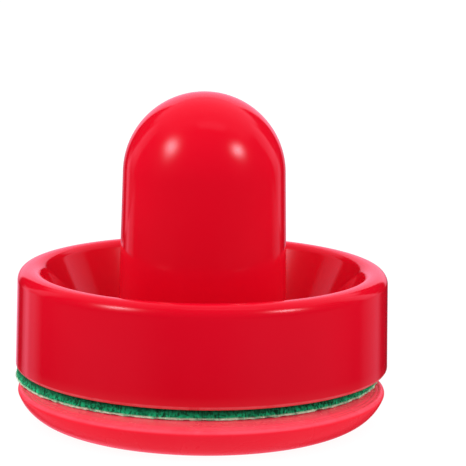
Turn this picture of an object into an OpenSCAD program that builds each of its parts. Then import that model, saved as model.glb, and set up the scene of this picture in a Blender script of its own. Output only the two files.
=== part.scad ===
// Air hockey striker standing on its puck.
// The striker is a hollow red moulding (domed handle, finger bowl, rim and
// outer skirt in one piece) closed underneath by a screwed-on base plate that
// carries a self-adhesive green felt pad. The puck is a loose plastic disc.
//
// Frame: millimetres, +Z up, origin at the centre of the puck's underside,
// which is the face that rests on the table. The striker's own axis is set
// back along +Y from the puck's axis, because the two are only stacked.

/* [Striker skirt and rim] */
// Outside diameter of the skirt at its lower edge
skirt_d = 96.5; // [94:0.5:104]
// How much smaller the skirt's diameter is at the rim (mould draft)
skirt_draft_d = 1.0; // [0.4:0.1:2]
// Height of the ring from the skirt's lower edge to the top of the rim
ring_h = 25.6; // [23:0.2:28]
// Moulded wall thickness
wall = 2.4; // [1.8:0.1:2.8]
// Width of the rim, from the skirt's outside to the bowl's edge
rim_w = 5.3; // [5.3:0.1:6]
// Radius of the rim's outer edge
rim_outer_r = 3.1; // [2:0.1:3.2]
// Radius of the rim's inner edge, where it turns down into the bowl
rim_inner_r = 3.0; // [2:0.1:3.2]
// Radius of the skirt's lower edge
skirt_edge_r = 1.0; // [0.6:0.1:2]

/* [Finger bowl] */
// Height of the bowl's floor above the skirt's lower edge
bowl_floor_h = 6.0; // [5:0.2:9]
// Slope of the bowl wall from the vertical, in degrees
bowl_slope = 27; // [22:1:28]
// Fillet between the bowl's floor and its two walls
bowl_fillet_r = 3.8; // [2:0.2:4]

/* [Handle] */
// Radius of the domed top
dome_r = 20.9; // [19:0.1:22]
// Height of the dome's centre above the skirt's lower edge
dome_centre_h = 50.4; // [44:0.2:58]
// Taper of the handle's side from the vertical, in degrees
handle_taper = 1.4; // [0.8:0.1:2]

/* [Ribs and screw bosses] */
// Number of stiffening ribs under the bowl
rib_n = 8; // [4:4:12]
// Thickness of a rib
rib_t = 1.6; // [1.2:0.1:2.2]
// Number of screws that hold the base plate
screw_n = 4; // [3:1:6]
// How far inside the skirt's outside the screws stand
screw_inset = 7.25; // [6.9:0.05:7.5]
// Outside radius of a screw boss
boss_r = 3.0; // [2.6:0.1:3.2]

/* [Base plate and screws] */
// Thickness of the base plate
plate_t = 2.0; // [1.8:0.1:2.2]
// Radial gap between the base plate and the skirt's inner wall
plate_gap = 0.2; // [0.1:0.05:0.4]
// Length of a screw, countersunk head included
screw_len = 9.5; // [8:0.5:10]

/* [Felt pad] */
// Diameter of the felt pad
felt_d = 93.6; // [90:0.2:96]
// Thickness of the felt pad
felt_t = 2.6; // [2:0.1:4]
// Thickness of its adhesive film
film_t = 0.15; // [0.1:0.05:0.3]
// How far off centre the pad was stuck on, along -X
felt_shift = 1.2; // [0:0.1:1.5]

/* [Puck] */
// Diameter of the puck where its curved flank ends
puck_d = 93.4; // [90:0.2:97]
// Thickness of the puck
puck_t = 8.2; // [8.1:0.1:9.5]
// Radius of the curved flank that runs under to the puck's lower face
puck_flank_r = 10.6; // [9:0.1:10.8]
// Depth of the shallow ring groove in each face
puck_groove = 0.8; // [0.4:0.1:1.2]
// Inner radius of the ring groove
puck_groove_r = 23.0; // [15:0.5:24]
// Width of the ring groove
puck_groove_w = 7.0; // [4:0.5:7]
// How far the striker stands behind the puck's centre
striker_back = 10.0; // [0:0.5:20]
// How far the striker stands to the left of the puck's centre
striker_left = 0.0; // [0:0.1:4]

/* [Hidden] */
$fn = 96;
// How far a cutting shape runs past the face it cuts
overcut = 1;

// Heights of the stack above the table
rest_gap = 0.05; // between the puck and the felt
plate_lift = 0.05; // plate above the skirt's lower edge
screw_lift = 0.1; // screw heads above the skirt's lower edge
felt_z = puck_t + rest_gap;
film_z = felt_z + felt_t;
skirt_z = film_z + film_t;
film_inset = 0.9; // film's edge inside the felt's edge

// Skirt's outer radii, and where the sloping bowl wall would meet the floor
skirt_foot_r = skirt_d / 2;
skirt_top_r = (skirt_d - skirt_draft_d) / 2;
bowl_floor_r = skirt_top_r - rim_w - tan(bowl_slope) * (ring_h - bowl_floor_h);

// Base plate, and the height at which the ribs and bosses stop above it
seat_h = plate_t + 0.1;
plate_r = skirt_foot_r - wall - plate_gap;
locating_gap = 0.25; // radial, inside the hub ring
locating_wall = 1.4;
locating_h = 2.4; // above the plate

// Screws and their holes
screw_circle_r = skirt_foot_r - screw_inset;
screw_start_angle = 22.5;
screw_root_r = 1.1;
screw_crest_r = 1.42;
screw_head_r = 2.7;
screw_head_h = 1.5;
screw_head_edge = 0.2; // straight edge below the countersink
screw_tip_h = 1.3;
thread_start = 0.9; // first thread above the head
thread_pitch = 1.1;
recess_l = 2.7;
recess_w = 0.6;
recess_depth = 1.0;
recess_overcut = 0.1;
pilot_r = 1.45;
pilot_h = screw_len + 0.8;
plate_hole_r = 1.6;
head_gap = 0.15; // radial, around the screw in its countersink
head_sink = 0.3; // straight part of the countersink

// Puck's upper edge radius, and the flank's slope from the vertical in degrees
puck_edge_r = 1.0;
puck_flank_angle = 22;

// Skirt's outer radius at height z above its lower edge
function skirt_r(z) = skirt_foot_r + (skirt_top_r - skirt_foot_r) * z / ring_h;
// Bowl wall's radius at height z, on the bowl's side and on the cavity's side
function bowl_r(z) = bowl_floor_r + tan(bowl_slope) * (z - bowl_floor_h);
function bowl_under_r(z) = bowl_r(z) + wall / cos(bowl_slope);
// Point on the dome's circle, inset by a depth, where the handle's side is tangent
function dome_tangent(inset = 0) = [
    (dome_r - inset) * cos(handle_taper),
    dome_centre_h + (dome_r - inset) * sin(handle_taper)
];
// Handle's outer radius at height z, on a line tangent to the dome
function handle_r(z) = dome_tangent().x + (dome_tangent().y - z) * tan(handle_taper);

hub_r = handle_r(bowl_floor_h);
hub_bore_r = hub_r - wall;

// A rounded corner is [point before, corner, point after, radius]
function unit(v) = v / norm(v);
function to_before(corner) = unit(corner[0] - corner[1]);
function to_after(corner) = unit(corner[2] - corner[1]);
function half_angle(corner) = acos(to_before(corner) * to_after(corner)) / 2;
// Centre of the corner's arc
function arc_centre(corner) = corner[1]
    + unit(to_before(corner) + to_after(corner)) * corner[3] / sin(half_angle(corner));
// The two points where the arc meets the straight sides
function arc_ends(corner) =
    let (reach = corner[3] / tan(half_angle(corner)))
    [corner[1] + to_before(corner) * reach, corner[1] + to_after(corner) * reach];

// Disc that fills or hollows a rounded corner
module corner_disc(corner) {
    translate(arc_centre(corner)) circle(corner[3]);
}

// Copies spread evenly around the axis
module around(count, start = 0) {
    for (i = [0:count - 1])
        rotate([0, 0, start + 360 / count * i]) children();
}

module at_screws() {
    around(screw_n, screw_start_angle)
        translate([screw_circle_r, 0, 0]) children();
}

// Moves a part onto the striker's axis at height z
module on_striker(z, shift = 0) {
    translate([-striker_left - shift, striker_back, z]) children();
}

// Quarter disc of the dome, its flat side lowered by a given amount
module dome_section(radius, lowered = 0) {
    intersection() {
        translate([0, dome_centre_h]) circle(radius);
        translate([0, dome_centre_h - lowered]) square([dome_r * 2, dome_r * 2]);
    }
}

// Half section of the striker's outside, solid inside
module striker_section() {
    // sharp corners, from the foot of the axis out and up, then in to the handle
    axis_foot = [0, 0];
    skirt_foot = [skirt_foot_r, 0];
    rim_outer = [skirt_top_r, ring_h];
    rim_inner = [bowl_r(ring_h), ring_h];
    floor_outer = [bowl_floor_r, bowl_floor_h];
    floor_inner = [hub_r, bowl_floor_h];
    handle_top = dome_tangent();

    outer_corners = [
        [axis_foot, skirt_foot, rim_outer, skirt_edge_r],
        [skirt_foot, rim_outer, rim_inner, rim_outer_r],
        [rim_outer, rim_inner, floor_outer, rim_inner_r]
    ];
    bowl_corners = [
        [rim_inner, floor_outer, floor_inner, bowl_fillet_r],
        [floor_outer, floor_inner, handle_top, bowl_fillet_r]
    ];

    difference() {
        union() {
            polygon(concat(
                [axis_foot],
                [for (corner = concat(outer_corners, bowl_corners)) each arc_ends(corner)],
                [handle_top, [0, handle_top.y]]
            ));
            for (corner = outer_corners) corner_disc(corner);
            dome_section(dome_r);
        }
        for (corner = bowl_corners) corner_disc(corner);
    }
}

// Half section of the space inside the moulding, open underneath
module cavity_section() {
    rim_under = ring_h - wall;
    floor_under = bowl_floor_h - wall;
    handle_top = dome_tangent(wall);
    union() {
        polygon([
            [0, -overcut],
            [skirt_r(0) - wall, -overcut],
            [skirt_r(rim_under) - wall, rim_under],
            [bowl_under_r(rim_under), rim_under],
            [bowl_under_r(floor_under), floor_under],
            [handle_r(floor_under) - wall, floor_under],
            handle_top,
            [0, dome_tangent().y - wall * sin(handle_taper)]
        ]);
        dome_section(dome_r - wall, lowered = overcut);
    }
}

// Ribs, hub ring and screw bosses that stand in the cavity down to the plate's seat
module stiffeners() {
    // all end half a wall inside the moulding
    rib_inner = hub_r - wall / 2;
    rib_l = skirt_foot_r - wall / 2 - rib_inner;
    rib_h = ring_h - wall / 2 - seat_h;
    difference() {
        union() {
            around(rib_n)
                translate([rib_inner, -rib_t / 2, seat_h]) cube([rib_l, rib_t, rib_h]);
            at_screws()
                translate([0, 0, seat_h]) cylinder(r = boss_r, h = rib_h);
            // hub ring: carries the handle's wall down to the base plate
            translate([0, 0, seat_h])
                difference() {
                    cylinder(r = hub_r, h = bowl_floor_h - seat_h);
                    translate([0, 0, -overcut])
                        cylinder(r = hub_bore_r, h = bowl_floor_h + 2 * overcut);
                }
        }
        at_screws()
            translate([0, 0, seat_h - overcut]) cylinder(r = pilot_r, h = pilot_h);
    }
}

// One-piece moulding: handle, bowl, rim, skirt and the ribs and bosses beneath them
module striker_shell() {
    color([0.86, 0.03, 0.10])
        on_striker(skirt_z)
            difference() {
                rotate_extrude() striker_section();
                difference() {
                    rotate_extrude() cavity_section();
                    stiffeners();
                }
            }
}

// Clearance hole and countersink for one screw, entered from below
module plate_hole() {
    sink_r = screw_head_r + head_gap;
    translate([0, 0, -overcut]) cylinder(r = plate_hole_r, h = plate_t + 2 * overcut);
    translate([0, 0, -overcut]) cylinder(r = sink_r, h = overcut + head_sink);
    translate([0, 0, head_sink])
        cylinder(r1 = sink_r, r2 = screw_root_r + head_gap, h = screw_head_h - screw_head_edge);
}

// Flat plate that closes the moulding and gives the felt its bonding face
module base_plate() {
    locating_r = hub_bore_r - locating_gap;
    color([0.78, 0.05, 0.10])
        on_striker(skirt_z + plate_lift)
            difference() {
                union() {
                    cylinder(r = plate_r, h = plate_t);
                    // locating ring, a free fit inside the hub ring
                    difference() {
                        cylinder(r = locating_r, h = plate_t + locating_h);
                        translate([0, 0, plate_t])
                            cylinder(r = locating_r - locating_wall, h = 4);
                    }
                }
                at_screws() plate_hole();
            }
}

// Half section of a countersunk self-tapping screw, head down, with ring-shaped thread crests
module screw_section() {
    thread_l = screw_len - screw_head_h - thread_start - screw_tip_h;
    turns = floor(thread_l / thread_pitch);
    crests = [
        for (i = [0:turns - 1])
            let (z = screw_head_h + thread_start + i * thread_pitch)
            each [
                [screw_root_r, z],
                [screw_crest_r, z + thread_pitch * 0.35],
                [screw_root_r, z + thread_pitch * 0.7]
            ]
    ];
    polygon(concat(
        [
            [0, 0],
            [screw_head_r, 0],
            [screw_head_r, screw_head_edge],
            [screw_root_r, screw_head_h]
        ],
        crests,
        [[screw_root_r, screw_len - screw_tip_h], [0, screw_len]]
    ));
}

// One screw with its cross recess
module screw() {
    difference() {
        rotate_extrude($fn = 48) screw_section();
        for (angle = [0, 90])
            rotate([0, 0, angle])
                translate([-recess_l / 2, -recess_w / 2, -recess_overcut])
                    cube([recess_l, recess_w, recess_depth + recess_overcut]);
    }
}

// The set of screws that hold the base plate
module base_screws() {
    color([0.72, 0.73, 0.75])
        on_striker(skirt_z + screw_lift) at_screws() screw();
}

// Double-sided film that bonds the felt to the base plate and the skirt's lower edge
module pad_adhesive() {
    color([0.90, 0.88, 0.78])
        on_striker(film_z, felt_shift) cylinder(r = felt_d / 2 - film_inset, h = film_t);
}

// Felt disc on which the striker slides
module felt_pad() {
    color([0.04, 0.45, 0.26])
        on_striker(felt_z, felt_shift) cylinder(r = felt_d / 2, h = felt_t);
}

// Half section of the ring groove in the lower face, with sloping sides
module groove_section() {
    groove_outer_r = puck_groove_r + puck_groove_w;
    polygon([
        [puck_groove_r, -overcut],
        [puck_groove_r, 0],
        [puck_groove_r + puck_groove, puck_groove],
        [groove_outer_r - puck_groove, puck_groove],
        [groove_outer_r, 0],
        [groove_outer_r, -overcut]
    ]);
}

// Half section of the puck: flat faces with a ring groove each, a small upper
// edge radius, and a flank that curves under to the lower face
module puck_section() {
    puck_r = puck_d / 2;
    // the flank's arc touches the lower face directly below its centre
    flank_centre = [puck_r - puck_flank_r * cos(puck_flank_angle), puck_flank_r];
    flank_foot = [flank_centre.x, 0];
    // here the flank leaves its arc and runs straight, leaning out, to the upper edge
    arc_end = [puck_r, puck_flank_r - puck_flank_r * sin(puck_flank_angle)];
    top_outer = [puck_r + (puck_t - arc_end.y) * tan(puck_flank_angle), puck_t];
    top_centre = [0, puck_t];
    upper_edge = [arc_end, top_outer, top_centre, puck_edge_r];
    difference() {
        union() {
            polygon(concat(
                [[0, 0], flank_foot, arc_end],
                arc_ends(upper_edge),
                [top_centre]
            ));
            // the flank's bulge, kept to the outside of the line between its ends
            intersection() {
                translate(flank_centre) circle(puck_flank_r);
                polygon([
                    flank_foot,
                    [flank_foot.x, -overcut],
                    [puck_r + 5, -overcut],
                    arc_end
                ]);
            }
            corner_disc(upper_edge);
        }
        for (face = [0, 1])
            translate([0, face * puck_t])
                mirror([0, face]) groove_section();
    }
}

// The loose puck that the striker is standing on
module puck() {
    color([0.93, 0.13, 0.22])
        rotate_extrude() puck_section();
}

striker_shell();
base_plate();
base_screws();
pad_adhesive();
felt_pad();
puck();
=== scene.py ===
"""An air hockey striker and its puck.

The striker is a red moulding (skirt, rim, open bowl and domed handle) on a green felt pad.
The puck's underside lies on z = 0 about the world's origin, and the striker stands on its own
upright axis. The camera looks along +Y, so +X is to the right. World units are metres, half
sections are (radius, height) in mm.
"""

import math

import bmesh
import bpy
import numpy as np
from mathutils import Matrix, Vector


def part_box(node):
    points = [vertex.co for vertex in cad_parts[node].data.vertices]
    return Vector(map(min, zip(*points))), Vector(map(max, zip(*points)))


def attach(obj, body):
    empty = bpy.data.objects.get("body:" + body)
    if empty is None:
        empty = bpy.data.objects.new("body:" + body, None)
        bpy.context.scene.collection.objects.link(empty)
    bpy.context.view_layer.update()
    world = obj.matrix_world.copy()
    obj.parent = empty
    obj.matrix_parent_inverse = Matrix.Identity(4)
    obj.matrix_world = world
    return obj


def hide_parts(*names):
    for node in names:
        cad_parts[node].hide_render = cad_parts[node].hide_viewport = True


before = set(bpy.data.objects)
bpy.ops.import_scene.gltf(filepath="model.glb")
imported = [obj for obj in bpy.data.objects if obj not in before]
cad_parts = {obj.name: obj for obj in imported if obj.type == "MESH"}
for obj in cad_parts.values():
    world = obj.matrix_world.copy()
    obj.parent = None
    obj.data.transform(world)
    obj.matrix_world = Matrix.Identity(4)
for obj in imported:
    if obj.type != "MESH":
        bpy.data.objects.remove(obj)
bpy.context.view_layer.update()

MM = 0.001
scene = bpy.context.scene

# ---------------------------------------------------------------- places, from the CAD nodes (m)
shell_lo, shell_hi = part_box("striker_shell")
felt_lo, felt_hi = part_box("felt_pad")
puck_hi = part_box("puck")[1]
STRIKER_X = (shell_lo[0] + shell_hi[0]) / 2
STRIKER_Y = (shell_lo[1] + shell_hi[1]) / 2
SKIRT_Z = shell_lo[2]
FELT_X = (felt_lo[0] + felt_hi[0]) / 2
FELT_Y = (felt_lo[1] + felt_hi[1]) / 2
FELT_Z = felt_lo[2]
FELT_R = (felt_hi[0] - felt_lo[0]) / 2


# ---------------------------------------------------------------- half sections
def fillet(before, corner, after, radius, steps):
    """Points along the fillet at a corner between its two neighbours."""
    before, corner, after = (np.array(v, float) for v in (before, corner, after))
    to_before = (before - corner) / np.linalg.norm(before - corner)
    to_after = (after - corner) / np.linalg.norm(after - corner)
    half = math.acos(float(np.clip(to_before @ to_after, -1, 1))) / 2
    middle = to_before + to_after
    centre = corner + middle / np.linalg.norm(middle) * radius / math.sin(half)
    start = corner + to_before * radius / math.tan(half) - centre
    end = corner + to_after * radius / math.tan(half) - centre
    start_angle = math.atan2(start[1], start[0])
    turn = math.atan2(end[1], end[0]) - start_angle
    turn = (turn + math.pi) % (2 * math.pi) - math.pi
    return arc(centre[0], centre[1], radius, start_angle, start_angle + turn, steps)


def arc(x, z, radius, start, end, steps):
    """Points along an arc about (x, z), angles in radians."""
    angles = [start + (end - start) * k / steps for k in range(steps + 1)]
    return [(x + radius * math.cos(a), z + radius * math.sin(a)) for a in angles]


def line(start, end, step):
    """Points strictly between start and end, about step apart."""
    n = max(1, round(math.dist(start, end) / step))
    return [
        (start[0] + (end[0] - start[0]) * k / n, start[1] + (end[1] - start[1]) * k / n)
        for k in range(1, n)
    ]


def chain(runs, step):
    """Joins runs of points with straight stretches cut into steps, and drops doubled points."""
    points = list(runs[0])
    for run in runs[1:]:
        points += line(points[-1], run[0], step) + list(run)
    clean = [points[0]]
    for point in points[1:]:
        if math.dist(point, clean[-1]) > 1e-4:
            clean.append(point)
    return clean


# ---------------------------------------------------------------- mesh helpers
def add_mesh(name, verts, faces, smooth=False, outward=False):
    """Links a new mesh object. With outward, its face normals are made to point out."""
    mesh = bpy.data.meshes.new(name)
    mesh.from_pydata(verts, [], faces)
    mesh.validate()
    if outward:
        bm = bmesh.new()
        bm.from_mesh(mesh)
        bmesh.ops.recalc_face_normals(bm, faces=bm.faces)
        bm.to_mesh(mesh)
        bm.free()
    if smooth:
        mesh.polygons.foreach_set("use_smooth", [True] * len(mesh.polygons))
    ob = bpy.data.objects.new(name, mesh)
    scene.collection.objects.link(ob)
    return ob


def skin(rings, closed=False):
    """Faces between successive rings of vertex numbers. A ring of one vertex is a tip."""
    faces = []
    for low, high in zip(rings, rings[1:] + (rings[:1] if closed else [])):
        count = max(len(low), len(high))
        if count == 1:
            continue
        for k in range(count):
            j = (k + 1) % count
            if len(low) == 1:
                faces.append((low[0], high[j], high[k]))
            elif len(high) == 1:
                faces.append((low[k], low[j], high[0]))
            else:
                faces.append((low[k], low[j], high[j], high[k]))
    return faces


def lathe(name, section, segments, centre, closed=False, move=None):
    """A solid of revolution from a half section in mm, whose ends may lie on the axis.

    move(angle, r, z) may return a shift (dr, dz) in mm for each point off the axis.
    """
    verts, rings = [], []
    for r, z in section:
        if r < 1e-6:
            rings.append([len(verts)])
            verts.append((centre[0], centre[1], centre[2] + z * MM))
            continue
        ring = []
        for k in range(segments):
            angle = 2 * math.pi * k / segments
            dr, dz = move(angle, r, z) if move else (0.0, 0.0)
            ring.append(len(verts))
            verts.append((
                centre[0] + (r + dr) * MM * math.cos(angle),
                centre[1] + (r + dr) * MM * math.sin(angle),
                centre[2] + (z + dz) * MM,
            ))
        rings.append(ring)
    return add_mesh(name, verts, skin(rings, closed), smooth=True, outward=True)


# ---------------------------------------------------------------- striker moulding (mm)
# heights are above the skirt's lower edge
RIM_H = 25.6
SKIRT_LOW_R, SKIRT_HIGH_R = 48.25, 47.75
WALL = 2.4
SKIRT_EDGE_FILLET, RIM_OUT_FILLET, RIM_IN_FILLET, FLOOR_FILLET = 1.0, 3.1, 3.0, 3.8
RIM_W = 5.3
BOWL_SLOPE = math.radians(27)                 # from the upright
FLOOR_H = 6.0
FLOOR_R = SKIRT_HIGH_R - RIM_W - math.tan(BOWL_SLOPE) * (RIM_H - FLOOR_H)
DOME_R, DOME_H = 20.9, 50.4                   # DOME_H is the height of the dome's centre
HANDLE_TAPER = math.radians(1.4)
DOME_START_R = DOME_R * math.cos(HANDLE_TAPER)
DOME_START_H = DOME_H + DOME_R * math.sin(HANDLE_TAPER)
DOME_STOP = math.pi / 2 - 0.012               # the dome's arc ends just short of the axis


def bowl_r(z):
    """Radius of the bowl's sloping face."""
    return FLOOR_R + math.tan(BOWL_SLOPE) * (z - FLOOR_H)


def bowl_under_r(z):
    """Radius of the cavity's face under the bowl's slope."""
    return bowl_r(z) + WALL / math.cos(BOWL_SLOPE)


def handle_r(z):
    """Radius of the tapered handle."""
    return DOME_START_R + (DOME_START_H - z) * math.tan(HANDLE_TAPER)


CAVITY_TOP = RIM_H - WALL
FLOOR_UNDER = FLOOR_H - WALL
HUB_IN_R = handle_r(FLOOR_UNDER) - WALL


def outer_section():
    """From the skirt's lower edge up over the rim, down the bowl and up the handle to the apex."""
    skirt = (SKIRT_LOW_R, 0.0)
    rim_out, rim_in = (SKIRT_HIGH_R, RIM_H), (bowl_r(RIM_H), RIM_H)
    floor_out, floor_in = (FLOOR_R, FLOOR_H), (handle_r(FLOOR_H), FLOOR_H)
    dome_start = (DOME_START_R, DOME_START_H)
    return chain(
        [
            fillet((0, 0), skirt, rim_out, SKIRT_EDGE_FILLET, 10),
            fillet(skirt, rim_out, rim_in, RIM_OUT_FILLET, 22),
            fillet(rim_out, rim_in, floor_out, RIM_IN_FILLET, 18),
            fillet(rim_in, floor_out, floor_in, FLOOR_FILLET, 14),
            fillet(floor_out, floor_in, dome_start, FLOOR_FILLET, 16),
            arc(0, DOME_H, DOME_R, HANDLE_TAPER, DOME_STOP, 60),
            [(0.0, DOME_H + DOME_R)],
        ],
        step=0.7,
    )


def cavity_section():
    """From the cavity's apex back down to the skirt's lower edge."""
    skirt_r = SKIRT_LOW_R + (SKIRT_HIGH_R - SKIRT_LOW_R) * CAVITY_TOP / RIM_H
    return chain(
        [
            [(0.0, DOME_H + DOME_R - WALL)],
            arc(0, DOME_H, DOME_R - WALL, DOME_STOP, HANDLE_TAPER, 30),
            [(HUB_IN_R, FLOOR_UNDER)],
            [(bowl_under_r(FLOOR_UNDER), FLOOR_UNDER)],
            [(bowl_under_r(CAVITY_TOP), CAVITY_TOP)],
            [(skirt_r - WALL, CAVITY_TOP)],
            [(SKIRT_LOW_R - WALL, 0.0)],
        ],
        step=3.0,
    )


# tiny moulding marks on the handle: angle from the viewer's side (degrees, positive to the
# right), height, length along height, length round the handle, turn (degrees), depth
MARKS = [
    (29.5, 44.6, 1.2, 0.28, 12, 0.035),
    (28.0, 42.1, 0.45, 0.35, 0, -0.03),
    (0.9, 42.0, 0.28, 1.0, -32, 0.022),
    (-21.5, 46.8, 0.3, 0.35, 0, -0.03),
    (9.0, 31.5, 0.3, 0.6, 20, -0.02),
    (-47.0, 36.0, 0.5, 0.25, 0, 0.02),
    (118.0, 40.0, 0.3, 0.9, 15, 0.02),
    (-140.0, 47.0, 0.4, 0.3, 0, -0.03),
    (171.0, 33.0, 0.9, 0.25, -10, 0.025),
]
MARK_REACH = 4                                # a mark is left out beyond this distance
SINK_DEPTH, SINK_W, SINK_FADE = 0.012, 1.8, 4


def mark_relief(angle, r, z):
    """Radial relief of the moulding marks at a point of the handle."""
    relief = 0.0
    bearing = (math.degrees(angle) + 90 + 180) % 360 - 180
    for mark_bearing, mark_z, tall, wide, turn, depth in MARKS:
        across = math.radians((bearing - mark_bearing + 180) % 360 - 180) * r
        along = z - mark_z
        if abs(across) > MARK_REACH or abs(along) > MARK_REACH:
            continue
        cos, sin = math.cos(math.radians(turn)), math.sin(math.radians(turn))
        u, v = across * cos + along * sin, -across * sin + along * cos
        relief += depth * math.exp(-((u / wide) ** 2) - (v / tall) ** 2)
    return relief


def moulding_relief(angle, r, z):
    """Marks on the handle, and the faint sink of the skirt opposite each rib."""
    if 20 < r < 23 and z > 27:
        return mark_relief(angle, r, z), 0.0
    low, high = 2, RIM_H - 4
    if r > 46.5 and low < z < high:
        off_rib = abs((math.degrees(angle) + 22.5) % 45 - 22.5) * math.pi / 180 * r
        fade = min(1, (z - low) / SINK_FADE) * min(1, (high - z) / SINK_FADE)
        return -SINK_DEPTH * math.exp(-((off_rib / SINK_W) ** 2)) * fade, 0.0
    return 0.0, 0.0


# ribs, screw bosses and hub ring: closed bodies let slightly into the cavity's walls
SEAT_H = 2.1                                  # height of their lower faces
LET_IN = 0.6
RIB_COUNT, RIB_HALF_W = 8, 0.8
BOSS_COUNT, BOSS_SEGMENTS = 4, 32
BOSS_CENTRE_R, BOSS_R, PILOT_R, PILOT_TOP = 41.0, 3.0, 1.45, 11.4


def striker_point(x, y, z, angle):
    """A point given in mm about the striker's axis, turned round it, in the world's metres."""
    cos, sin = math.cos(angle), math.sin(angle)
    return (
        STRIKER_X + (x * cos - y * sin) * MM,
        STRIKER_Y + (x * sin + y * cos) * MM,
        SKIRT_Z + z * MM,
    )


def build_ribs():
    """Radial ribs between the handle and the skirt, whose outline follows the cavity."""
    inner_r = handle_r(FLOOR_H) - 0.5
    under = FLOOR_UNDER + LET_IN
    outline = [
        (inner_r, SEAT_H),
        (SKIRT_LOW_R - WALL + LET_IN, SEAT_H),
        (SKIRT_HIGH_R - WALL + LET_IN, CAVITY_TOP + LET_IN),
        (bowl_under_r(CAVITY_TOP) - LET_IN, CAVITY_TOP + LET_IN),
        (bowl_under_r(under) - 0.7, under),
        (inner_r, under),
    ]
    n = len(outline)
    verts, faces = [], []
    for k in range(RIB_COUNT):
        angle = math.radians(360 / RIB_COUNT * k)
        near = list(range(len(verts), len(verts) + n))
        far = [i + n for i in near]
        for side in (-RIB_HALF_W, RIB_HALF_W):
            verts += [striker_point(r, side, z, angle) for r, z in outline]
        faces += [near, far[::-1]]
        for i in range(n):
            j = (i + 1) % n
            faces.append((near[i], far[i], far[j], near[j]))
    return add_mesh("ribs_tmp", verts, faces, outward=True)


def build_boss(angle):
    """A screw boss with a blind pilot hole. Its top follows the cavity's roof."""
    # radius about the boss, height; None is a point let into the roof
    section = [
        (0.0, PILOT_TOP), (PILOT_R, PILOT_TOP), (PILOT_R, SEAT_H), (BOSS_R, SEAT_H),
        (BOSS_R, None), (2.0, None), (1.0, None), (0.0, None),
    ]
    verts, rings = [], []
    for r, height in section:
        ring = []
        for q in range(1 if r == 0 else BOSS_SEGMENTS):
            around = 2 * math.pi * q / BOSS_SEGMENTS
            x, y = BOSS_CENTRE_R + r * math.cos(around), r * math.sin(around)
            z = height
            if z is None:
                past_floor = math.hypot(x, y) - WALL / math.cos(BOWL_SLOPE) - FLOOR_R
                z = min(CAVITY_TOP, FLOOR_H + past_floor / math.tan(BOWL_SLOPE)) + LET_IN
            ring.append(len(verts))
            verts.append(striker_point(x, y, z, angle))
        rings.append(ring)
    return add_mesh("boss_tmp", verts, skin(rings), outward=True)


def build_hub(centre):
    """A ring that carries the handle's wall down inside the cavity."""
    top = FLOOR_UNDER + LET_IN
    wall_r = handle_r(FLOOR_H)
    section = [(HUB_IN_R, SEAT_H), (wall_r, SEAT_H), (wall_r, top), (HUB_IN_R - 0.02, top)]
    return lathe("hub_tmp", section, 96, centre, closed=True)


def join_into(target, parts):
    """Adds the parts' closed shells to the target's mesh."""
    bm = bmesh.new()
    bm.from_mesh(target.data)
    for part in parts:
        bm.from_mesh(part.data)
    bm.to_mesh(target.data)
    bm.free()
    for part in parts:
        bpy.data.objects.remove(part)


def build_moulding():
    centre = (STRIKER_X, STRIKER_Y, SKIRT_Z)
    # closing the section adds the flat lower face of the skirt
    body = lathe("striker_moulding", outer_section() + cavity_section(), 288, centre,
                 closed=True, move=moulding_relief)
    ribs = build_ribs()
    bosses = [build_boss(math.radians(22.5 + 360 / BOSS_COUNT * k)) for k in range(BOSS_COUNT)]
    hub = build_hub(centre)
    join_into(body, [ribs, hub, *bosses])
    return body


moulding = build_moulding()

# ---------------------------------------------------------------- puck (mm)
PUCK_T = puck_hi[2] / MM
PUCK_R, PUCK_EDGE_FILLET = 46.7, 1.0
FLANK_R, FLANK_ANGLE = 10.6, math.radians(22)
GROOVE_R, GROOVE_W, GROOVE_DEPTH = 23.0, 7.0, 0.8     # GROOVE_R is its inner edge
FINE_LINE_INSETS, FINE_LINE_DEPTH = (1.5, 2.6), 0.05


def groove(face_z, sign):
    """Runs of a ring groove from outside in. sign is -1 for the top face, +1 for the underside."""
    outer_r = GROOVE_R + GROOVE_W
    bed_z = face_z + sign * GROOVE_DEPTH
    corners = [
        (outer_r + 3, face_z), (outer_r, face_z), (outer_r - GROOVE_DEPTH, bed_z),
        (GROOVE_R + GROOVE_DEPTH, bed_z), (GROOVE_R, face_z), (GROOVE_R - 3, face_z),
    ]
    radii = (0.3, 0.25, 0.25, 0.3)
    return [fillet(*corners[i:i + 3], radius, 3) for i, radius in enumerate(radii)]


def fine_line(inset):
    """A shallow ring line in the top face."""
    r, bed = PUCK_R - inset, PUCK_T - FINE_LINE_DEPTH
    return [(r + 0.18, PUCK_T), (r + 0.08, bed), (r - 0.08, bed), (r - 0.18, PUCK_T)]


def build_puck():
    """A disc with a round lower flank that leans out to the top, and a groove in each face."""
    flank_x = PUCK_R - FLANK_R * math.cos(FLANK_ANGLE)
    flank_top = FLANK_R - FLANK_R * math.sin(FLANK_ANGLE)
    top_edge = (PUCK_R + (PUCK_T - flank_top) * math.tan(FLANK_ANGLE), PUCK_T)
    section = chain(
        [
            [(0.0, 0.0), (0.6, 0.0)],
            *[run[::-1] for run in groove(0.0, 1)[::-1]],
            arc(flank_x, FLANK_R, FLANK_R, -math.pi / 2, -FLANK_ANGLE, 26),
            fillet((PUCK_R, flank_top), top_edge, (0, PUCK_T), PUCK_EDGE_FILLET, 8),
            *[fine_line(inset) for inset in FINE_LINE_INSETS],
            *groove(PUCK_T, -1),
            [(0.6, PUCK_T), (0.0, PUCK_T)],
        ],
        step=0.9,
    )
    return lathe("puck_disc", section, 288, (0, 0, 0))


puck = build_puck()

# ---------------------------------------------------------------- felt pad (mm)
PAD_R = FELT_R / MM
PAD_T = (felt_hi[2] - felt_lo[2]) / MM
PAD_SEGMENTS = 960


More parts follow.
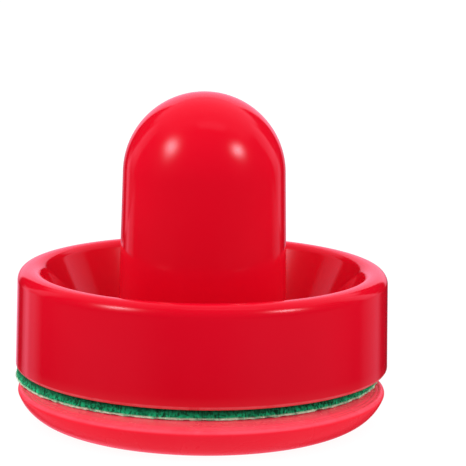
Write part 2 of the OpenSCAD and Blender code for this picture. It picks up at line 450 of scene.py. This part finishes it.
def edge_wave(seed, count, first, size):
    """A random wave round the pad: a function of the angle, with harmonics from first upwards."""
    draws = np.random.default_rng(seed)
    amplitudes = draws.normal(size=count) / np.sqrt(np.arange(1, count + 1))
    phases = draws.uniform(0, 2 * math.pi, count)
    orders = np.arange(first, first + count)
    return lambda angle: float((amplitudes * np.sin(orders * angle + phases)).sum()) * size


ragged = edge_wave(seed=7, count=90, first=6, size=0.045)      # radius of the cut edge
swell = edge_wave(seed=11, count=70, first=9, size=0.03)       # sag of the edge's top
lip_wave = edge_wave(seed=23, count=120, first=14, size=0.060)


def lift(angle):
    """How far the pad's lower lip curls up."""
    return max(0.0, 0.03 + lip_wave(angle))


def felt_section():
    """From the top's centre over the cut edge to the underside's centre."""
    def face(z, end_r):
        """A flat face, coarse in the middle and finer near the edge."""
        coarse = [(6.0, z), *line((6.0, z), (PAD_R - 6, z), 3.2), (PAD_R - 6, z)]
        return [(0.0, z), *coarse, *line((PAD_R - 6, z), (end_r, z), 0.7)]

    # the cut edge: distance outside the pad's radius, height above the underside
    edge = [
        (-0.95, PAD_T), (-0.62, PAD_T - 0.05), (-0.42, PAD_T - 0.22), (-0.32, PAD_T - 0.48),
        (-0.27, PAD_T - 0.80), (-0.23, PAD_T - 1.10), (-0.18, PAD_T - 1.40),
        (-0.10, PAD_T - 1.68), (-0.01, PAD_T - 1.92), (0.06, PAD_T - 2.14),
        (0.09, 0.30), (0.10, 0.13), (0.03, 0.03), (-0.30, 0.0),
    ]
    top = face(PAD_T, PAD_R + edge[0][0])
    underside = face(0.0, PAD_R + edge[-1][0])
    return top + [(PAD_R + out, z) for out, z in edge] + underside[::-1]


def build_felt():
    """A pressed felt disc: flat faces and a lumpy cut edge that flares at a curling lower lip."""
    angles = [2 * math.pi * k / PAD_SEGMENTS for k in range(PAD_SEGMENTS)]
    waves = [(ragged(angle), swell(angle), lift(angle)) for angle in angles]
    tufts = np.random.default_rng(3).normal(size=(PAD_SEGMENTS, 64))
    # smoothed a little along the edge so that it makes tufts and not spikes
    tufts = (tufts + 0.9 * np.roll(tufts, 1, 0) + 0.9 * np.roll(tufts, -1, 0)) / 1.6

    def fray(angle, r, z):
        near_edge = max(0.0, min(1.0, (r - (PAD_R - 2.2)) / 1.4))
        k = int(round(angle / (2 * math.pi) * PAD_SEGMENTS)) % PAD_SEGMENTS
        out, sag, curl = waves[k]
        dz = near_edge * curl * max(0.0, 1 - z / (0.45 * PAD_T))
        if z > 0.8 * PAD_T:
            dz -= 0.10 * near_edge * (0.5 + abs(sag) * 4)
        tuft = tufts[k, int(z * 17) % 64]
        dr = near_edge * (out * (0.45 + 0.75 * (1 - z / PAD_T)) + 0.075 * tuft)
        return dr, dz

    return lathe("felt_disc", felt_section(), PAD_SEGMENTS, (FELT_X, FELT_Y, FELT_Z), move=fray)


felt = build_felt()

FIBRE_STEPS, FIBRE_SIDES = 3, 3
UP = np.array([0.0, 0.0, 1.0])


def draw_fibre(draws):
    """One random fibre: points, width, heading and the way out from the pad's axis.

    A little over half of the fibres are low ones on the lip. The others stand on the edge.
    """
    angle = draws.uniform(0, 2 * math.pi)
    low = draws.random() < 0.55
    if low:
        z = min(0.9, 0.08 + 0.30 * draws.random() + lift(angle) * 0.9)
    else:
        z = draws.uniform(0.12, 0.95) * PAD_T
    r = PAD_R + ragged(angle) * 0.8 - (0.12 if low else 0.42)
    length = draws.uniform(0.30, 0.85) * (0.9 if low else 0.8)
    width = draws.uniform(0.020, 0.048) if low else draws.uniform(0.016, 0.036)
    sideways = draws.normal(0, 1.4 if low else 0.9)
    rise = draws.normal(0.0 if low else 0.05, 0.35)
    out = np.array([math.cos(angle), math.sin(angle), 0.0])
    along = np.array([-math.sin(angle), math.cos(angle), 0.0])
    root = np.array([r * math.cos(angle), r * math.sin(angle), z])
    heading = out * 0.75 + along * sideways + UP * rise
    heading /= np.linalg.norm(heading)
    curl = along * draws.normal(0, 0.7) + UP * draws.normal(0, 0.5) - out * draws.uniform(0.1, 0.8)
    points = []
    for i in range(FIBRE_STEPS + 1):
        u = i / FIBRE_STEPS
        point = root + heading * length * u + curl * length * 0.45 * u * u
        # kept within the pad's thickness and close to its edge
        point[2] = min(max(point[2], 0.04), PAD_T - 0.06)
        reach, limit = math.hypot(point[0], point[1]), PAD_R + 0.55
        if reach > limit:
            point[:2] *= limit / reach
        points.append(point)
    return points, width, heading, out


def fibre_ring(point, ahead, width, heading, out):
    """Corners of the fibre's cross section at a point, square to the way to the next point."""
    way = ahead - point
    length = np.linalg.norm(way)
    way = heading if length < 1e-6 else way / length
    side = np.cross(way, UP)
    if np.linalg.norm(side) < 1e-3:
        side = np.cross(way, out)
    side /= np.linalg.norm(side)
    other = np.cross(way, side)
    angles = [2 * math.pi * q / FIBRE_SIDES for q in range(FIBRE_SIDES)]
    return [point + side * width * math.cos(a) + other * width * math.sin(a) for a in angles]


def build_fibres(count, seed):
    """Loose fibres along the pad's cut edge: thin closed tapered tubes."""
    draws = np.random.default_rng(seed)
    points_mm, faces = [], []
    for _ in range(count):
        points, width, heading, out = draw_fibre(draws)
        rings = []
        for i, (point, ahead) in enumerate(zip(points, points[1:])):
            taper = 1 - 0.75 * i / FIBRE_STEPS
            rings.append(list(range(len(points_mm), len(points_mm) + FIBRE_SIDES)))
            points_mm += fibre_ring(point, ahead, width * taper, heading, out)
        tip = [len(points_mm)]
        points_mm.append(points[-1])
        faces.append(rings[0][::-1])
        faces += skin([*rings, tip])
    verts = [(FELT_X + p[0] * MM, FELT_Y + p[1] * MM, FELT_Z + p[2] * MM) for p in points_mm]
    return add_mesh("felt_fibres", verts, faces, smooth=True)


fibres = build_fibres(count=12000, seed=5)


# ---------------------------------------------------------------- node graphs
class Graph:
    """Short calls that build one node tree. Values may be numbers, tuples or sockets."""

    def __init__(self, tree, output):
        self.tree = tree
        tree.nodes.clear()
        self.output = tree.nodes.new(output)

    def add(self, kind, inputs=(), **settings):
        node = self.tree.nodes.new("ShaderNode" + kind)
        for key, value in settings.items():
            setattr(node, key, value)
        for key, value in dict(inputs).items():
            socket = node.inputs[key]
            if isinstance(value, bpy.types.NodeSocket):
                self.tree.links.new(value, socket)
            elif socket.type == "RGBA":
                socket.default_value = (*value, 1.0)
            else:
                socket.default_value = value
        return node

    def surface(self, shader):
        self.tree.links.new(shader.outputs[0], self.output.inputs["Surface"])

    def principled(self, inputs):
        self.surface(self.add("BsdfPrincipled", inputs))

    def place(self, x=1.0, y=1.0, z=1.0):
        """Object coordinates, scaled along each axis."""
        coords = self.add("TexCoord").outputs["Object"]
        mapping = self.add("Mapping", {"Vector": coords, "Scale": (x, y, z)})
        return mapping.outputs["Vector"]

    def xyz(self, vector):
        return self.add("SeparateXYZ", {0: vector}).outputs

    def noise(self, place, scale, detail=3.0, roughness=0.5, distortion=0.0):
        return self.add("TexNoise", {
            "Vector": place, "Scale": scale, "Detail": detail,
            "Roughness": roughness, "Distortion": distortion,
        }).outputs["Fac"]

    def ramp(self, value, span, to=(0.0, 1.0), shape="LINEAR"):
        """Maps the span onto the values in to, clamped."""
        return self.add("MapRange", {
            "Value": value, "From Min": span[0], "From Max": span[1],
            "To Min": to[0], "To Max": to[1],
        }, interpolation_type=shape).outputs["Result"]

    def ease(self, value, span, to=(0.0, 1.0)):
        """A ramp with soft ends."""
        return self.ramp(value, span, to, shape="SMOOTHSTEP")

    def math(self, operation, a, b=None, clamp=False):
        inputs = {0: a} if b is None else {0: a, 1: b}
        return self.add("Math", inputs, operation=operation, use_clamp=clamp).outputs[0]

    def plus(self, a, b, clamp=False):
        return self.math("ADD", a, b, clamp)

    def minus(self, a, b):
        return self.math("SUBTRACT", a, b)

    def times(self, a, b):
        return self.math("MULTIPLY", a, b)

    def total(self, values):
        result = values[0]
        for value in values[1:]:
            result = self.plus(result, value)
        return result

    def off_axis(self, x, y, centre):
        """Distance from an upright axis."""
        dx, dy = self.minus(x, centre[0]), self.minus(y, centre[1])
        return self.math("SQRT", self.plus(self.times(dx, dx), self.times(dy, dy)))

    def mix_colour(self, factor, a, b, blend="MIX"):
        return self.add("Mix", {0: factor, 6: a, 7: b},
                        data_type="RGBA", blend_type=blend).outputs[2]

    def mix_value(self, factor, a, b):
        return self.add("Mix", {0: factor, 2: a, 3: b}, data_type="FLOAT").outputs[0]

    def bump(self, height, distance, strength, normal=None):
        inputs = {"Height": height, "Distance": distance, "Strength": strength}
        if normal is not None:
            inputs["Normal"] = normal
        return self.add("Bump", inputs).outputs["Normal"]


def new_material(name):
    material = bpy.data.materials.new(name)
    material.use_nodes = True
    return material, Graph(material.node_tree, "ShaderNodeOutputMaterial")


# ---------------------------------------------------------------- plastics
def clouded(graph, place, dark, base):
    """An even colour with faint flow clouding."""
    cloud = graph.noise(place, scale=26, detail=3, roughness=0.5, distortion=0.4)
    return graph.mix_colour(graph.ease(cloud, span=(0.35, 0.7)), dark, base)


def scratches(graph, place, scale, span):
    return graph.ramp(graph.noise(place, scale=scale, detail=2, roughness=0.6), span=span)


def gloss_finish(graph, place, colour, roughness, scratch, peel_scale, specular, rub_and_highlight=None):
    """Moulded gloss: clouded haze, hair scratches and orange peel. The mask of the rubbed edge and
    its painted highlight, where given, makes it duller.
    """
    round_it = scratches(graph, graph.place(z=14.0), scale=420, span=(0.66, 0.78))
    along_it = scratches(graph, graph.place(x=9.0, y=9.0, z=0.6), scale=260, span=(0.68, 0.8))
    scratched = graph.times(graph.plus(round_it, along_it, clamp=True), scratch)
    cloud = graph.noise(place, scale=60, detail=4, roughness=0.6, distortion=0.8)
    haze = graph.ramp(cloud, span=(0.3, 0.75), to=(roughness * 0.85, roughness * 1.2))
    gloss = graph.plus(haze, scratched)
    if rub_and_highlight is not None:
        gloss = graph.plus(gloss, graph.times(rub_and_highlight, 0.30))
    normal = None
    # orange peel, long waves, fine grain: scale, detail, roughness, distance, strength
    for scale, detail, rough, distance, strength in (
        (peel_scale, 1.0, 0.4, 0.0000045, 0.6),
        (55, 1.0, 0.4, 0.00002, 0.5),
        (240, 2.0, 0.5, 0.000002, 0.4),
    ):
        height = graph.noise(place, scale, detail, rough)
        normal = graph.bump(height, distance, strength, normal)
    graph.principled({
        "Base Color": colour, "IOR": 1.5, "Specular IOR Level": specular,
        "Roughness": gloss, "Normal": normal,
    })


def shade_low(graph, place, colour):
    """Darkens the colour towards the lower edge, to stand for the shade low on the skirt."""
    z = graph.xyz(place)[2]
    middle, middle_shade = SKIRT_Z + 0.024, 0.95
    low = graph.ramp(z, span=(SKIRT_Z, middle), to=(0.83, middle_shade))
    high = graph.ease(z, span=(middle, SKIRT_Z + 0.050), to=(1.0, 1.0 / middle_shade))
    shade = graph.times(low, high)
    grey = graph.add("CombineXYZ", {0: shade, 1: shade, 2: shade}).outputs[0]
    return graph.mix_colour(1.0, colour, grey, blend="MULTIPLY")


def skirt_rub_and_highlight(graph, place):
    """Mask along the skirt's lower edge: a broken pale line, partly rubbed wear and partly painted
    highlight, and a faint painted brightening above it.
    """
    x, y, z = graph.xyz(place)
    r = graph.off_axis(x, y, (STRIKER_X, STRIKER_Y))
    skirt_only = (0.0465, 0.0465 + 0.0003)    # radii over which the rubbed, painted-highlight line sets in, m
    edge = graph.times(
        graph.ease(z, span=(SKIRT_Z + 0.00070, SKIRT_Z + 0.00115), to=(1.0, 0.0)),
        graph.ramp(r, span=skirt_only))
    patches = graph.noise(place, scale=140, detail=4, roughness=0.65, distortion=0.8)
    edge = graph.times(edge, graph.ease(patches, span=(0.34, 0.58), to=(0.60, 1.0)))
    # a faint painted brightening just above the lower edge
    haze = graph.ramp(z, span=(SKIRT_Z + 0.0010, SKIRT_Z + 0.0034), to=(0.085, 0.0))
    return graph.math("MAXIMUM", edge, graph.times(haze, graph.ramp(r, span=skirt_only)))


def striker_plastic():
    material, graph = new_material("red_gloss_plastic")
    place = graph.place()
    colour = clouded(graph, place, dark=(0.765, 0.0021, 0.0160), base=(0.790, 0.0026, 0.0180))
    colour = shade_low(graph, place, colour)
    rub_and_highlight = skirt_rub_and_highlight(graph, place)
    # paints the pale pink edge line, rubbed wear with a painted highlight, and the painted
    # brightening above it
    colour = graph.mix_colour(rub_and_highlight, colour, (0.78, 0.105, 0.125))
    gloss_finish(graph, place, colour, roughness=0.085, scratch=0.05, peel_scale=330,
                 specular=0.5, rub_and_highlight=rub_and_highlight)
    return material


def puck_plastic():
    """The puck's red, with a painted pale sheen on its up-facing top face and edge."""
    material, graph = new_material("puck_red_plastic")
    place = graph.place()
    colour = clouded(graph, place, dark=(0.97, 0.012, 0.033), base=(1.00, 0.014, 0.037))
    upward = graph.xyz(graph.add("NewGeometry").outputs["Normal"])[2]
    # patches for the painted sheen on the up-facing faces
    sheen_patches = graph.noise(graph.place(), scale=95, detail=4, roughness=0.6, distortion=1.2)
    painted_sheen = graph.mix_colour(graph.ease(sheen_patches, span=(0.35, 0.65)),
                             (1.0, 0.076, 0.122), (1.0, 0.058, 0.098))
    # paints the paler pink sheen where the surface faces up
    colour = graph.mix_colour(graph.ease(upward, span=(0.05, 0.62)), colour, painted_sheen)
    gloss_finish(graph, place, colour, roughness=0.26, scratch=0.08, peel_scale=462,
                 specular=0.13)
    return material


# ---------------------------------------------------------------- felt
def felt_material(name, fringe):
    """Matted fibres in several greens, with sheen and deep relief. fringe pales the lower lip."""
    material, graph = new_material(name)
    place = graph.place()
    clumps = graph.noise(place, scale=210, detail=3, roughness=0.6, distortion=0.6)
    fibre_a = graph.noise(graph.place(y=4.0, z=1.4), scale=620, roughness=0.60, distortion=0.5)
    fibre_b = graph.noise(graph.place(x=3.6, z=1.2), scale=740, roughness=0.60, distortion=0.5)
    fibre = graph.times(graph.plus(fibre_a, fibre_b), 0.5)
    colour = graph.mix_colour(graph.ease(fibre, span=(0.42, 0.58)),
                              (0.0006, 0.050, 0.020), (0.014, 0.600, 0.250))
    colour = graph.mix_colour(graph.ease(clumps, span=(0.40, 0.62), to=(0.0, 0.45)),
                              colour, (0.0028, 0.235, 0.095))
    x, y, z = graph.xyz(place)
    # only the cut edge is frayed pale, not the lower face
    low = graph.ease(z, span=(FELT_Z + 0.00078, FELT_Z + 0.00034))
    r = graph.off_axis(x, y, (FELT_X, FELT_Y))
    lip = graph.times(low, graph.ease(r, span=(FELT_R - 0.0011, FELT_R - 0.0005)))
    # darker towards the top of the edge, to stand for the shade under the skirt
    deep = graph.ease(z, span=(FELT_Z + 0.0009, FELT_Z + 0.0024), to=(0.0, 0.72))
    colour = graph.mix_colour(deep, colour, (0.0010, 0.040, 0.015))
    patches = graph.noise(place, scale=420, detail=3, roughness=0.6)
    patches = graph.ease(patches, span=(0.34, 0.58), to=(0.38 * fringe, 1.0 * fringe))
    colour = graph.mix_colour(graph.times(lip, patches), colour, (0.84, 0.97, 0.74))
    relief = graph.bump(fibre, distance=0.0004, strength=1.0)
    graph.principled({
        "Base Color": colour, "Roughness": 0.95, "Specular IOR Level": 0.15,
        "Sheen Weight": 0.22, "Sheen Roughness": 0.5, "Sheen Tint": (0.20, 0.90, 0.45),
        "Normal": graph.bump(clumps, distance=0.0006, strength=0.8, normal=relief),
    })
    return material


# ---------------------------------------------------------------- plate, screws and adhesive
def plate_material():
    """Base plate: a similar red, finely textured."""
    material, graph = new_material("red_plate_texture")
    place = graph.place()
    cloud = graph.ease(graph.noise(place, scale=40), span=(0.3, 0.7))
    haze = graph.noise(place, scale=700, detail=2)
    grain = graph.noise(place, scale=1800, detail=2)
    graph.principled({
        "Base Color": graph.mix_colour(cloud, (0.58, 0.004, 0.016), (0.68, 0.006, 0.02)),
        "Roughness": graph.ramp(haze, span=(0.3, 0.7), to=(0.45, 0.62)),
        "Normal": graph.bump(grain, distance=0.00003, strength=0.8),
    })
    return material


def steel_material():
    """Zinc-plated steel with spangle and fine brushing."""
    material, graph = new_material("zinc_steel")
    spangle = graph.noise(graph.place(), scale=900, detail=4, roughness=0.6)
    spangle = graph.ease(spangle, span=(0.3, 0.7))
    haze = graph.noise(graph.place(z=8), scale=1200)
    brushing = graph.noise(graph.place(z=9), scale=1500, detail=2)
    graph.principled({
        "Base Color": graph.mix_colour(spangle, (0.50, 0.51, 0.53), (0.74, 0.75, 0.77)),
        "Metallic": 1.0,
        "Roughness": graph.ramp(haze, span=(0.3, 0.7), to=(0.24, 0.46)),
        "Normal": graph.bump(brushing, distance=0.00001, strength=0.6),
    })
    return material


def adhesive_material():
    """Double-sided film: milky, slightly bubbled, satin."""
    material, graph = new_material("adhesive_film")
    place = graph.place()
    milk = graph.noise(place, scale=180, detail=4, roughness=0.6)
    milk = graph.ease(milk, span=(0.35, 0.65))
    haze = graph.noise(place, scale=300)
    bubbles = graph.noise(place, scale=420)
    graph.principled({
        "Base Color": graph.mix_colour(milk, (0.78, 0.75, 0.60), (0.90, 0.88, 0.78)),
        "Roughness": graph.ramp(haze, span=(0.3, 0.7), to=(0.35, 0.6)),
        "Normal": graph.bump(bubbles, distance=0.00005, strength=0.6),
        "Subsurface Weight": 0.1, "Subsurface Radius": (0.0006, 0.0005, 0.0003),
    })
    return material


def give(ob, material):
    ob.data.materials.clear()
    ob.data.materials.append(material)


give(moulding, striker_plastic())
give(puck, puck_plastic())
give(felt, felt_material("green_felt_pressed", fringe=0.85))
give(fibres, felt_material("green_felt_fibre", fringe=1.0))
for node, material in (
    ("base_plate", plate_material()),
    ("base_screws", steel_material()),
    ("pad_adhesive", adhesive_material()),
):
    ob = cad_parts[node]
    # a CAD piece may come without a slot
    if not ob.material_slots:
        ob.data.materials.append(material)
    for slot in ob.material_slots:
        slot.material = material

for piece, body, slot, node in (
    (moulding, "striker", "red_shell", "striker_shell"),
    (felt, "striker", "green_felt", "felt_pad"),
    (puck, "puck", "red_puck", "puck"),
):
    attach(piece, body)
    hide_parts(node)
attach(fibres, "striker")

# ---------------------------------------------------------------- world: a plain white studio
# The camera sees plain white. Gloss sees soft boxes in a dim room. Diffuse light is a dome,
# dimmer on the viewer's side. Azimuth 0 is +Y and 90 is +X, in degrees.
world = bpy.data.worlds.new("studio")
scene.world = world
world.use_nodes = True
world.cycles.sampling_method = "NONE"
sky = Graph(world.node_tree, "ShaderNodeOutputWorld")
sky_way = sky.add("TexCoord").outputs["Generated"]
way_x, way_y, way_z = sky.xyz(sky_way)
azimuth = sky.times(sky.math("ARCTAN2", way_x, way_y), 180 / math.pi)
elevation = sky.times(sky.math("ARCSINE", way_z), 180 / math.pi)

# pink of the soft boxes in the gloss, which keeps reflections on the red warm and saturated
TINT = (2.40, 1.0, 1.42)


def step_up(value, edge, soft):
    """0 below the edge, 1 above it, smooth over soft. The edge may be a number or a socket."""
    if isinstance(edge, (int, float)):
        return sky.ease(value, span=(edge - soft / 2, edge + soft / 2))
    return sky.ease(sky.minus(value, edge), span=(-soft / 2, soft / 2))


def step_down(value, edge, soft):
    return sky.minus(1.0, step_up(value, edge, soft))


def band(value, low, high, soft_low, soft_high):
    """1 between two edges, smooth at each."""
    return sky.times(step_up(value, low, soft_low), step_down(value, high, soft_high))


def panel(sides, side_soft, heights, height_soft, value):
    """A soft-edged box of light between two azimuths and two elevations."""
    across = band(azimuth, *sides, side_soft, side_soft)
    upright = band(elevation, *heights, height_soft, height_soft)
    return sky.times(sky.times(across, upright), value)


def lean(elevations, azimuths):
    """An edge whose azimuth leans with elevation."""
    return sky.ramp(elevation, span=elevations, to=azimuths)


def side_panels():
    """Strip boxes, each a tall leaning one and a short one, left and then right."""
    above = sky.ease(elevation, span=(-8, 14))
    left = sky.mix_value(above, 0.060, sky.ramp(azimuth, span=(-72, -56), to=(0.17, 0.33)))
    right = sky.mix_value(above, 0.135, sky.ramp(azimuth, span=(56, 74), to=(0.43, 0.19)))
    tall = {"side_soft": 4.5, "heights": (-70, 36), "height_soft": 14}
    short = {"heights": (-70, 2), "height_soft": 12}
    return [
        panel((lean((-8, 24), (-62, -74)), lean((-8, 15), (-38.5, -54))), value=left, **tall),
        panel((-48.5, -38.5), side_soft=4, value=0.24, **short),
        panel((lean((-8, 15), (43, 54)), lean((-8, 24), (60, 76))), value=right, **tall),
        panel((43, 53), side_soft=3.5, value=0.13, **short),
    ]


def ceiling_light():
    """Overhead box, brighter towards the back and right, and a small hood in front of it."""
    # place on a flat ceiling at unit height
    safe_z = sky.math("MAXIMUM", way_z, 0.05)
    x = sky.math("DIVIDE", way_x, safe_z)
    y = sky.math("DIVIDE", way_y, safe_z)
    box = sky.times(band(y, low=-0.17, high=1.25, soft_low=0.36, soft_high=0.4),
                    band(x, low=-1.15, high=1.25, soft_low=0.7, soft_high=0.7))
    gain = sky.times(sky.ramp(y, span=(0.1, 1.1), to=(0.165, 0.43)),
                     sky.ramp(x, span=(-0.8, 0.3), to=(0.66, 1.0)))
    box = sky.times(box, gain)
    hood = sky.times(band(x, low=-0.14, high=0.44, soft_low=0.16, soft_high=0.22),
                     band(y, low=-0.30, high=-0.08, soft_low=0.10, soft_high=0.16))
    return sky.plus(sky.times(box, step_up(elevation, edge=26, soft=16)), sky.times(hood, 0.20))


def gloss_room():
    """Strength of the room as the gloss sees it."""
    backdrop = sky.times(
        panel((-25, 25.5), side_soft=5, heights=(-70, 40), height_soft=16, value=0.58),
        sky.ease(elevation, span=(-9, 7), to=(0.36, 1.0)))
    low_side = {"side_soft": 36, "heights": (-60, -9.5), "height_soft": 5}
    lights = sky.total([
        sky.math("MAXIMUM", backdrop, ceiling_light()),
        *side_panels(),
        panel((-150, -86), value=0.060, **low_side),
        panel((86, 156), value=0.075, **low_side),
    ])
    # the white floor, seen only at steep angles
    floor_glow = sky.times(step_down(elevation, edge=-27, soft=18), 0.14)
    return sky.plus(sky.math("MAXIMUM", lights, floor_glow), 0.006)


def diffuse_room():
    """Strength of the diffuse dome: brighter overhead and away from the viewer."""
    dome = sky.plus(sky.ease(way_z, span=(-0.30, 0.25), to=(0.97, 1.0)),
                    sky.ramp(way_z, span=(0.20, 1.0), to=(0.0, 0.30)))
    return sky.times(dome, sky.ramp(way_y, span=(-1.0, 1.0), to=(0.66, 1.58)))


def way_to(azimuth_deg, elevation_deg):
    """Unit vector towards a place on the sky."""
    a, e = math.radians(azimuth_deg), math.radians(elevation_deg)
    return Vector((math.sin(a) * math.cos(e), math.cos(a) * math.cos(e), math.sin(e)))


def lamp_glow(azimuth_deg, elevation_deg, peak, wide, tall, turn):
    """The soft image of a lamp in the gloss: a Gaussian spot, turned about its middle."""
    way = way_to(azimuth_deg, elevation_deg)
    level = way.cross(Vector((0, 0, 1))).normalized()
    upright = level.cross(way)
    cos, sin = math.cos(math.radians(turn)), math.sin(math.radians(turn))
    facing, across, along = [
        sky.add("VectorMath", {0: sky_way, 1: axis}, operation="DOT_PRODUCT").outputs["Value"]
        for axis in (way, level * cos + upright * sin, upright * cos - level * sin)
    ]
    u = sky.math("DIVIDE", across, math.sin(math.radians(wide)))
    v = sky.math("DIVIDE", along, math.sin(math.radians(tall)))
    squared = sky.plus(sky.times(u, u), sky.times(v, v))
    spot = sky.math("EXPONENT", sky.times(squared, -1.0))
    return sky.times(sky.times(spot, step_up(facing, edge=0.4, soft=0.3)), peak)


# azimuth, elevation, peak strength, width, height, turn: angles in degrees.
# Each lamp is a core, a weaker spot below it and a wide halo. Left lamp first, then right.
LAMP_GLOWS = [
    (-119.5, 37.3, 6.7, 8.4, 9.4, -42),
    (-121.0, 27.0, 0.9, 7.5, 9.0, 0),
    (-121.0, 32.0, 0.26, 17.0, 21.0, 0),
    (122.3, 34.4, 7.7, 7.7, 7.3, 15),
    (120.0, 27.5, 0.6, 7.0, 8.0, 0),
    (122.0, 31.0, 0.26, 15.0, 18.0, 0),
]


def build_sky():
    ray = sky.add("LightPath").outputs
    room = sky.mix_value(ray["Is Diffuse Ray"], gloss_room(), diffuse_room())
    room = sky.mix_value(ray["Is Camera Ray"], room, 1.0)
    colour = sky.mix_colour(ray["Is Glossy Ray"], (1, 1, 1), TINT)
    room_light = sky.add("Background", {"Color": colour, "Strength": room})
    glow = sky.total([lamp_glow(*row) for row in LAMP_GLOWS])
    lamp_light = sky.add("Background", {
        "Color": (1.10, 1.0, 1.12), "Strength": sky.times(glow, ray["Is Glossy Ray"]),
    })
    sky.surface(sky.add("AddShader", {0: room_light.outputs[0], 1: lamp_light.outputs[0]}))


build_sky()

# ---------------------------------------------------------------- key lights
LAMP_DISTANCE = 0.9                           # from the dome's centre, m


def key_light(name, azimuth_deg, elevation_deg, radius_deg, radiance, tall):
    """An elliptical lamp aimed at the dome's centre. tall is its height over its width."""
    way = way_to(azimuth_deg, elevation_deg)
    data = bpy.data.lights.new(name, "AREA")
    data.shape = "ELLIPSE"
    data.size = 2 * LAMP_DISTANCE * math.tan(math.radians(radius_deg))
    data.size_y = data.size * tall
    area = math.pi * (data.size / 2) * (data.size_y / 2)
    data.energy = radiance * area * math.pi
    ob = bpy.data.objects.new(name, data)
    ob.location = Vector((STRIKER_X, STRIKER_Y, SKIRT_Z + DOME_H * MM)) + way * LAMP_DISTANCE
    ob.rotation_mode = "QUATERNION"
    ob.rotation_quaternion = way.to_track_quat("Z", "Y")
    ob.visible_glossy = False                 # its image in the gloss is a lamp_glow
    scene.collection.objects.link(ob)


key_light("key_left", azimuth_deg=-120.0, elevation_deg=36.5, radius_deg=7.5, radiance=7.0,
          tall=1.35)
key_light("key_right", azimuth_deg=123.0, elevation_deg=34.5, radius_deg=6.0, radiance=8.0,
          tall=1.30)


# ---------------------------------------------------------------- card and floor
def card_material():
    """Soft boxes of light side by side across the card."""
    material, graph = new_material("studio_card")
    x = graph.xyz(graph.place())[0]
    x_mm = graph.times(graph.minus(x, STRIKER_X), 1 / MM)
    middle = graph.ramp(x_mm, span=(-60, 40), to=(0.50, 0.35))
    strength = 0.008
    # left edge from dark to full, right edge from full to dark (mm), strength, edge shapes
    for left, right, value, left_edge, right_edge in (
        ((-325, -225), (-142, -122), 0.20, graph.ramp, graph.ease),   # wide glow, left
        ((-190, -166), (-158, -142), 0.17, graph.ease, graph.ease),   # bright strip in it
        ((-104, -70), (44, 84), middle, graph.ease, graph.ease),      # middle
        ((125, 171), (165, 370), 0.195, graph.ease, graph.ramp),      # wide glow, right
    ):
        box = graph.times(left_edge(x_mm, span=left), right_edge(x_mm, span=right, to=(1.0, 0.0)))
        strength = graph.plus(graph.times(box, value), strength)
    graph.surface(graph.add("Emission", {"Color": TINT, "Strength": strength}))
    return material


def build_card():
    """A low card behind the striker, seen only in the gloss."""
    half_width, bottom, top = 0.6, -0.2, SKIRT_Z + 0.010
    left, right, y = STRIKER_X - half_width, STRIKER_X + half_width, STRIKER_Y + 0.110
    verts = [(left, y, bottom), (right, y, bottom), (right, y, top), (left, y, top)]
    card = add_mesh("studio_card", verts, [(0, 1, 2, 3)])
    give(card, card_material())
    card.visible_camera = False
    card.visible_diffuse = False
    card.visible_shadow = False
    card.visible_transmission = False


def floor_material():
    """A glowing pale floor with a little diffuse shading."""
    material, graph = new_material("pale_floor")
    diffuse = graph.add("BsdfDiffuse", {"Color": (0.10, 0.10, 0.10)})
    cloud = graph.noise(graph.place(), scale=3, detail=2)
    strength = graph.ramp(cloud, span=(0.3, 0.7), to=(0.93, 0.95))
    glow = graph.add("Emission", {"Color": (1, 1, 1), "Strength": strength})
    graph.surface(graph.add("AddShader", {0: diffuse.outputs[0], 1: glow.outputs[0]}))
    return material


def build_floor():
    half, z = 4, -0.00002                     # just below the puck's underside
    verts = [(-half, -half, z), (half, -half, z), (half, half, z), (-half, half, z)]
    floor = add_mesh("studio_floor", verts, [(0, 1, 2, 3)])
    give(floor, floor_material())
    floor.visible_glossy = False
    floor.visible_diffuse = False
    floor.visible_shadow = False


build_card()
build_floor()

# ---------------------------------------------------------------- camera: a long lens, low
SENSOR_W, LENS = 36, 178.54532                # mm
TARGET_H, CAMERA_DISTANCE = 30.01, 597.0      # mm, TARGET_H above the skirt's lower edge
CAMERA_ELEVATION, CAMERA_ROLL = math.radians(10.869), math.radians(0.799)
# tangents by which the view axis passes to the right of the target and above it
AIM_RIGHT, AIM_UP = 0.012873999, 0.0077060537


def build_camera():
    target = Vector((STRIKER_X, STRIKER_Y, SKIRT_Z + TARGET_H * MM))
    forward = Vector((0, math.cos(CAMERA_ELEVATION), -math.sin(CAMERA_ELEVATION)))
    level = Vector((1, 0, 0))
    upright = level.cross(forward)
    cos, sin = math.cos(CAMERA_ROLL), math.sin(CAMERA_ROLL)
    rolled_right = level * cos + upright * sin
    rolled_up = upright * cos - level * sin
    look = (forward + rolled_right * AIM_RIGHT + rolled_up * AIM_UP).normalized()
    right = (rolled_right - look * rolled_right.dot(look)).normalized()
    up = right.cross(look)
    data = bpy.data.cameras.new("camera")
    data.sensor_width = SENSOR_W
    data.lens = LENS
    data.clip_start, data.clip_end = 0.01, 20
    camera = bpy.data.objects.new("camera", data)
    camera.location = target - forward * (CAMERA_DISTANCE * MM)
    camera.rotation_mode = "QUATERNION"
    camera.rotation_quaternion = Matrix((right, up, -look)).transposed().to_quaternion()
    scene.collection.objects.link(camera)
    scene.camera = camera


build_camera()

scene.view_settings.view_transform = "Standard"
scene.view_settings.look = "None"
scene.view_settings.exposure = 0.0
scene.view_settings.gamma = 1.0
